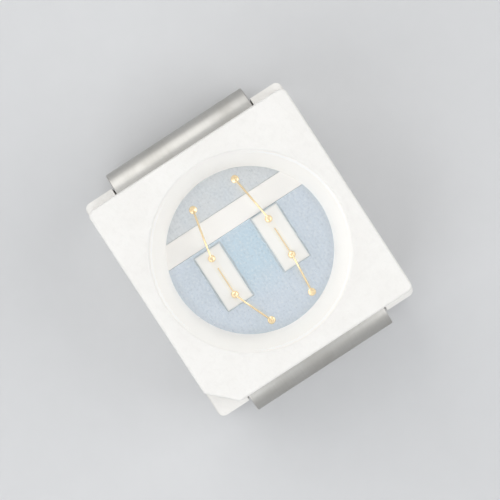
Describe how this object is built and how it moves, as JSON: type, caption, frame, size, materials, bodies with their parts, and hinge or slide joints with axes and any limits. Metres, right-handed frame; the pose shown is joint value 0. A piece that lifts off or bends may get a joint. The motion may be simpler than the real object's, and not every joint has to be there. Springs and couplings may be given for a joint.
{
  "type": "surface-mount led",
  "caption": "Surface-mount LED: white moulded reflector body with a round cup, clear filling over long chips and gold bond wires, leads folded under the body, one corner chamfered.",
  "frame": {"origin": "middle of the footprint, on the seating plane of the solder feet", "axes": "+X towards the wide cathode lead that carries the chips, +Z the way the light leaves"},
  "size_m": [0.0036, 0.0028, 0.0019],
  "materials": {
    "white_resin": "fine matt, as moulded",
    "silver_plate": "bright silver plating on copper alloy",
    "chip_crystal": "polished, slightly milky",
    "chip_adhesive": "cured, smooth",
    "gold": "bright gold",
    "clear_resin": "clear and smooth"
  },
  "bodies": {
    "root": {"housing": "white_resin", "anode_lead": "silver_plate", "cathode_lead": "silver_plate", "chip_a": "chip_crystal", "chip_b": "chip_crystal", "chip_a_attach": "chip_adhesive", "chip_b_attach": "chip_adhesive", "chip_a_p_contact": "gold", "chip_a_n_contact": "gold", "chip_b_p_contact": "gold", "chip_b_n_contact": "gold", "anode_wire_a": "gold", "anode_wire_b": "gold", "cathode_wire_a": "gold", "cathode_wire_b": "gold", "encapsulant": "clear_resin"}
  },
  "joints": []
}
